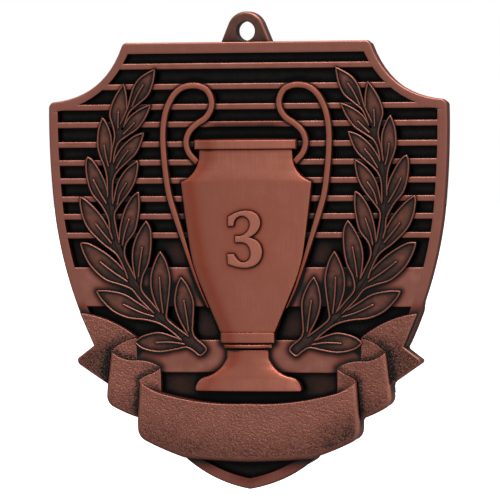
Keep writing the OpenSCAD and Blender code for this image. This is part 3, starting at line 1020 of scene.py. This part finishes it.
def cup_piece(node, outline, extra=0.0, r=0.14, step=0.4, shade=None, draft=0.16):
    """One part of the cup. It stands forward of the cup's front by extra, and shade(points) adds
    patina and painted shade of its own."""
    xz, faces, out = filled(outline, r, (0.15, 0.45, 1), step)
    heights = cup_front(xz, extra) - rounding(out, r)
    x, z = xz.T
    dark = POLISHED + 0.12 * bell(out, 0, 0.07)
    # Painted shade and reflection down the left side: a red band near the edge and a darker left
    # half
    dark += 0.26 * bell(x + cup_half_width(z), 1.6, 1) + 0.06 * fade(x, 0, -CUP_FULL_W)
    # A painted shade line across the shoulder
    dark += 0.06 * bell(z, -23.4, 0.25) * (z < -18.4)
    # Lighter towards the neck and on the foot's rim
    dark -= 0.07 * fade(z, -24, 2) + 0.05 * fade(z, -53.9, -0.2)
    if shade is not None:
        dark = dark + shade(xz)
    piece = solid(node + "_visual", xz, faces, heights, dark, FLOOR_T, draft=draft, wall=0.5)
    placed(piece, CUP_METAL, node)


def body_shade(points):
    """Patina round the numeral, painted shadow under the lip and painted shade at the sides of the
    neck.
    """
    x, z = points.T
    dark = 0.5 * halo(points, 0.3, [NUMERAL]) + 0.16 * halo(points, 0.9, [NUMERAL])
    dark += 0.6 * bell(z, LIP_ROWS[1], 0.3)
    return dark + 0.08 * bell(z, -20.5, 1.6) * fade(np.abs(x), 4.5, 3)


def foot_shade(points):
    """Painted shade under the ring, in the crease over the rim and down the right."""
    x, z = points.T
    dark = 0.5 * bell(z, FOOT_TOP, 0.3) + 0.06 * bell(z, FOOT_WING[1] + 0.1, 0.15)
    return dark + 0.16 * bell(x, 4.6, 0.7) * fade(z, -54.2, 0.5)


def cup():
    cup_piece("cup_body", cup_body_outline(), shade=body_shade, step=0.3)
    cup_piece("cup_lip", rectangle(LIP_HALF_W, *LIP_ROWS), extra=0.3, r=0.1, draft=0.38)
    cup_piece("cup_collar", rectangle(COLLAR_HALF_W, WAIST[1], COLLAR_BOTTOM), extra=0.03, r=0.1)
    cup_piece("cup_ring", rectangle(RING_HALF_W, *RING_ROWS), extra=-0.05, r=0.25)
    cup_piece("cup_foot", cup_foot_outline(), r=0.16, step=0.3, shade=foot_shade)


def handle(side, word):
    """A handle: a flat strip with rounded edges."""
    loop = turned(handle_outline(side))
    body = inset(turned(CUP_PARTS[1]), 0.05)
    r = 0.25

    def within(points):
        return inside(points, loop) & ~inside(points, body)

    xz, faces = triangulated([loop, inset(loop, r * 0.3), inset(loop, r * 0.9), body], within)
    out = distance(xz, loop)
    heights = HANDLE_T - rounding(out, r)
    dark = POLISHED + 0.15 * bell(out, 0, 0.06)
    dark += 0.4 * halo(xz, 0.5, [CUP_PARTS[1]])
    piece = solid(f"handle_{word}_visual", xz, faces, heights, dark, FLOOR_T, draft=0.12)
    placed(piece, CUP_METAL, f"handle_{word}")


def numeral():
    """The placing numeral on the cup, on dark sides that lean."""
    r = 0.12
    xz, faces, out = filled(NUMERAL, r, (0.3, 1), 0.3)
    heights = cup_front(xz) + NUMERAL_RAISE - rounding(out, r)
    dark = 0.01 + 0.08 * bell(out, 0, 0.05)
    piece = solid("numeral_3_visual", xz, faces, heights, dark, CUP_EDGE, draft=0.14,
                  wall=0.75)
    placed(piece, CUP_METAL, "numeral_3")


# ---- The laurel ----


def lighter_patch(points, side):
    """Where the hollows are lighter: a patch over the top of each leaf's rib."""
    total = np.zeros(len(points))
    for tip, _, _, rib in OUTER_LEAVES + INNER_LEAVES:
        tip, top = mirrored([tip, rib[0]], side)
        length = np.linalg.norm(tip - top)
        offset = points - (top + 0.15 * (tip - top))
        along = offset @ unit(tip - top) / (0.5 * length)
        across = offset @ left_of(unit(tip - top)) / (0.25 * length)
        total = np.maximum(total, np.exp(-along ** 2 - across ** 2))
    return total


def leaf_bodies(side, word):
    """The hollows of one branch, split into its stem, outer leaves and inner leaves."""
    groups = {"stem": [stem_outline(side)],
              "outer_leaves": [leaf_curves(leaf, side)[0] for leaf in OUTER_LEAVES],
              "inner_leaves": [leaf_curves(leaf, side)[0] for leaf in INNER_LEAVES]}
    loops = [loop for group in groups.values() for loop in group]
    lines = [line for pair in RIDGES[side] for line in pair]

    def member(points):
        """1 in the stem, 2 in an outer leaf, 3 in an inner leaf, 0 elsewhere."""
        found = np.zeros(len(points), int)
        for number, group in reversed(list(enumerate(groups.values(), 1))):
            for loop in group:
                found[inside(points, loop)] = number
        return found

    xz, faces = triangulated(loops, lambda points: member(points) > 0, 0.26, 0.08,
                             np.vstack(loops))
    near = np.min([distance(xz, line, closed=False) for line in lines], axis=0)
    heights = LEAF_T + LEAF_DOME * fade(near, 0, 0.7) ** 1.5
    dark = 0.7 + 0.24 * bell(near, 0, 0.4) - 0.3 * lighter_patch(xz, side)
    dark += 0.1 * grain(xz, 0.7)
    kinds = member(xz[faces].mean(axis=1))
    for number, group in enumerate(groups, 1):
        used, index = np.unique(faces[kinds == number], return_inverse=True)
        name = f"laurel_{group}_{word}"
        piece = solid(name + "_visual", xz[used], index.reshape(-1, 3), heights[used],
                      dark[used], FLOOR_T, wall=0.42)
        placed(piece, LAUREL_METAL, name)


def leaf_ridges(side, word):
    """The thin polished ridges round the leaves, and their ribs."""
    for group, leaves in (("outer", OUTER_LEAVES), ("inner", INNER_LEAVES)):
        bm, layer = started()
        for leaf in leaves:
            for path in leaf_curves(leaf, side):
                swept(bm, layer, path, RIDGE_HALF_W, LEAF_T - 0.1, RIDGE_T, 0.6)
        piece = finished(bm, f"laurel_{group}_ridges_{word}", 60)
        placed(piece, LAUREL_METAL, f"laurel_{group}_leaves_{word}")


# ---- The banner ----

PANEL_R = 0.14
PANEL_STEP = 0.115  # fine enough for the stipple
PIT_DEPTH = 0.05
FOLD_LEAN = -0.05  # the folds' walls do not lean in: they lean out a little


def stipple(points):
    """Cast pebbling: 0 on the tops, 1 in the pits."""
    return np.clip(0.35 + 1.1 * grain(points, 0.27, 1.3) + 0.6 * grain(points, 0.18, 5.2), 0, 1)


def panel_front(outline):
    return filled(outline, PANEL_R, (0.12, 0.4, 1), PANEL_STEP)


def panel(node, front, heights, dark, rim, behind=(), rolled=1, rim_r=0.6, lean=BACK_LEAN):
    """One panel of the banner. It is rounded by rim_r along its rim and elsewhere by PANEL_R
    times rolled. Its walls carry painted shade near the panels behind it, and lean in by lean
    under the rim where the medal's side is open."""
    xz, faces, out = front
    to_rim = distance(xz, rim, closed=False)
    pits = stipple(xz) * fade(out, 0.12, 0.4) * fade(to_rim, 0.4 * rim_r, rim_r)
    drop = np.maximum(rounding(out, PANEL_R) * rolled, rounding(to_rim, rim_r))
    base = dark * np.maximum(0.2, fade(to_rim, 0.1 * rim_r, rim_r))
    shade = base + (0.08 + 0.5 * base) * pits + 0.7 * POLISHED
    # Painted shade on the walls near the panels behind
    hidden = 0.55 * halo(xz, 1.1, behind) if behind else 0
    outer = to_rim < 0.02
    free = (distance(xz, BANNER) < 0.02) & ~inside(xz, SHIELD)
    piece = solid(node + "_visual", xz, faces, heights - drop - PIT_DEPTH * pits, shade, 0,
                  draft=np.where(outer, np.where(free, -lean, 0), 0.1), wall=0.3 + hidden,
                  foot=np.where(outer, 0.42, 0.8) + hidden)
    placed(piece, BANNER_METAL, node)


def banner_center():
    """The blank middle panel, which curves forward. It is darker towards its foot and right."""
    front = panel_front(center_outline())
    x, z = front[0].T
    away = np.abs(x)
    heights = BANNER_EDGE + (BANNER_FRONT - BANNER_EDGE) * (1 - (away / CENTER_SIDE[0]) ** 2)
    down = fade(z, CENTER_TOP + 3.4 * (away / CENTER_SIDE[0]) ** 2, -8.5)
    dark = 0.05 + 0.44 * fade(down, 0.35, 1) ** 1.3
    dark += 0.34 * fade(x, 10, 8) * fade(down, 0.15, 1)
    foot = np.array(open_edge([(*CENTER_CORNER, 0)] + CENTER_FOOT_ROWS))
    rim = spaced(np.vstack([foot, flipped(foot)[1:]]))[:-1]
    panel("banner_center", front, heights, dark, rim, [mid_outline(-1), mid_outline(1)],
          rolled=fade(away, 17.9, -2.2), rim_r=0.7)


def banner_mid(side, word):
    """The panel beside the middle one, which comes forward to its outer edge."""
    front = panel_front(mid_outline(side))
    x, z = mirrored(front[0], side).T
    # Painted shade where the panel meets the middle panel and the fold; it is also darker towards
    # the bottom
    near = halo(front[0], 0.85, [center_outline(), fold_outline(side)])
    rim = open_edge([(*CENTER_SIDE, -0.13), (*MID_SIDE, -0.2), (*MID_LOW, 0), (*MID_FOOT, 0),
                     (*MID_CORNER, 0)])
    panel(f"banner_mid_{word}", front, 3.72 + 0.63 * fade(x, 17.2, 4.6) ** 0.8,
          0.09 + 0.5 * near + 0.24 * fade(z, -55.5, -4), mirrored(rim, side),
          [tail_outline(side)])


def banner_tail(side, word):
    """The notched end of the ribbon. Its wall is in shadow at its upper end and in its notch."""
    front = panel_front(tail_outline(side))
    x, z = mirrored(front[0], side).T
    # Painted shade beside the panel next to the middle one and the turn, stronger lower down; it
    # is also darker towards the bottom
    low = fade(z, -46.5, -4)
    near = halo(front[0], 1.1, [mid_outline(side), turn_outline(side)])
    rim = open_edge(TAIL_ROWS[1:] + [(*MID_FOOT, 0)])
    gap = mirrored([row[:2] for row in TAIL_ROWS[1:3]] + [(26, -49.8)], side)
    panel(f"banner_tail_{word}", front, 3.75 + 0.5 * fade(x, 19.5, 6),
          0.1 + (0.15 + 0.35 * low) * near + 0.26 * low, mirrored(rim, side), [gap],
          rim_r=0.25)


def banner_fold(side, word):
    """The fold between the middle panel and the next, which comes forward to the middle one."""
    front = panel_front(fold_outline(side))
    x = front[0][:, 0] * side
    # Painted shade along the middle panel's edge, fading out towards the fold's outer end
    near = halo(front[0], 0.7, [center_outline()]) * fade(x, 17, -2)
    rim = open_edge([(*FOLD_BOTTOM, 0), (*FOLD_TOP, 0)])
    panel(f"banner_fold_{word}", front, 3.65 + 0.95 * fade(x, FOLD_TOP[0], 3.3) ** 1.5,
          0.1 + 0.5 * near, mirrored(rim, side), rolled=np.maximum(0.1, fade(x, 16.5, -1.5)),
          rim_r=0.2, lean=FOLD_LEAN)


def banner_turn(side, word):
    """The fold between the panel beside the middle one and the tail."""
    front = panel_front(turn_outline(side))
    x = front[0][:, 0] * side
    # Painted shade along the edge of the panel beside the middle one
    near = halo(front[0], 0.8, [mid_outline(side)])
    rim = open_edge([(*TURN_BOTTOM, 0), (*TURN_TOP, 0)])
    panel(f"banner_turn_{word}", front, 3.64 + 0.6 * fade(x, TURN_TOP[0], 4.1) ** 1.5,
          0.12 + 0.5 * near, mirrored(rim, side), rolled=np.maximum(0.1, fade(x, 21, -1.5)),
          rim_r=0.2, lean=FOLD_LEAN)


# ---- The studio ----

AZIMUTH = math.radians(16)
ELEVATION = math.radians(1.993)
ROLL = math.radians(0.638)
CAMERA_DISTANCE = 875
LENS = 403.2
TARGET = Vector((-0.042, 0, -34.193))
FLOOR_Z = -112
FLOOR_HALF_M = 3.0
# Brightness of the studio that the metal reflects, towards each side
ROOM = {"X": (0.3, 0.8), "Y": (0.5, 0.2), "Z": (0.14, 1.4)}


def camera():
    """A long lens, a little to the medal's right and slightly above its middle."""
    back = Vector((math.sin(AZIMUTH) * math.cos(ELEVATION),
                   -math.cos(AZIMUTH) * math.cos(ELEVATION), math.sin(ELEVATION)))
    right = (-back).cross(Vector((0, 0, 1))).normalized()
    up = right.cross(-back)
    across = math.cos(ROLL) * right - math.sin(ROLL) * up
    along = math.sin(ROLL) * right + math.cos(ROLL) * up
    data = bpy.data.cameras.new("camera")
    data.lens = LENS
    data.sensor_width = 36
    data.clip_start = 0.05
    data.clip_end = 20
    view = bpy.data.objects.new("camera", data)
    turn = Matrix((across, along, back)).transposed().to_4x4()
    view.matrix_world = Matrix.Translation((TARGET + back * CAMERA_DISTANCE) * MM) @ turn
    bpy.context.scene.collection.objects.link(view)
    bpy.context.scene.camera = view


def softbox(name, place, size, watts, aim):
    """A rectangular soft light that faces the place at aim."""
    data = bpy.data.lights.new(name, "AREA")
    data.shape = "RECTANGLE"
    data.size = size[0] * MM
    data.size_y = size[1] * MM
    data.energy = watts
    light = bpy.data.objects.new(name, data)
    light.location = Vector(place) * MM
    light.rotation_euler = (Vector(aim) * MM - light.location).to_track_quat("-Z", "Y").to_euler()
    bpy.context.scene.collection.objects.link(light)


def studio_floor():
    """A plain pale floor."""
    mesh = bpy.data.meshes.new("floor")
    corners = [(-1, -1), (1, -1), (1, 1), (-1, 1)]
    mesh.from_pydata([(x * FLOOR_HALF_M, y * FLOOR_HALF_M, FLOOR_Z * MM) for x, y in corners],
                     [], [(0, 1, 2, 3)])
    floor = bpy.data.objects.new("floor", mesh)
    bpy.context.scene.collection.objects.link(floor)
    paint = bpy.data.materials.new("pale floor")
    paint.use_nodes = True
    join(paint.node_tree, paint.node_tree.nodes["Principled BSDF"], {
        "Base Color": (0.86, 0.86, 0.86, 1), "Roughness": 0.9,
        "Emission Color": (1, 1, 1, 1), "Emission Strength": 0.8})
    mesh.materials.append(paint)
    floor.visible_glossy = False


def surroundings():
    """White behind the medal as the camera sees it, and a room of soft light for the metal to
    reflect: bright above, dim below and behind."""
    world = bpy.data.worlds.new("studio")
    bpy.context.scene.world = world
    world.use_nodes = True
    tree = world.node_tree
    direction = added(tree, "TexCoord").outputs["Generated"]
    parts = added(tree, "SeparateXYZ", {"Vector": direction})
    total = 0.0
    for axis, (backward, forward) in ROOM.items():
        for side, strength in (("MINIMUM", backward), ("MAXIMUM", forward)):
            part = math_node(tree, side, parts.outputs[axis], 0.0)
            square = math_node(tree, "MULTIPLY", part, part)
            total = math_node(tree, "ADD", math_node(tree, "MULTIPLY", square, strength), total)
    plain = (1, 1, 1, 1)
    room = join(tree, tree.nodes["Background"], {"Color": plain, "Strength": total})
    white = added(tree, "Background", {"Color": plain})
    seen = added(tree, "LightPath").outputs["Is Camera Ray"]
    mixed = added(tree, "MixShader", {"Fac": seen, 1: room.outputs["Background"],
                                      2: white.outputs["Background"]})
    join(tree, tree.nodes["World Output"], {"Surface": mixed.outputs["Shader"]})


# ---- The scene ----

shield_plate()
border_frame()
suspension_eye()
for row, height in enumerate(BAR_ROWS, 1):
    stripe(f"bar_{row:02d}", height + BAR_H / 2, height - BAR_H / 2)
stripe("band_upper", *BAND_UPPER, smoke=0.7, base=0)
stripe("band_lower", *BAND_LOWER, smoke=0.8, base=0)
cup()
for side, word in SIDES:
    handle(side, word)
numeral()
for side, word in SIDES:
    leaf_bodies(side, word)
    leaf_ridges(side, word)
banner_center()
for side, word in SIDES:
    banner_mid(side, word)
    banner_tail(side, word)
    banner_fold(side, word)
    banner_turn(side, word)
camera()
studio_floor()
surroundings()
softbox("top light", (60, -160, 420), (500, 300), 1.8, aim=(0, 0, -35))
bpy.context.scene.view_settings.view_transform = "Standard"
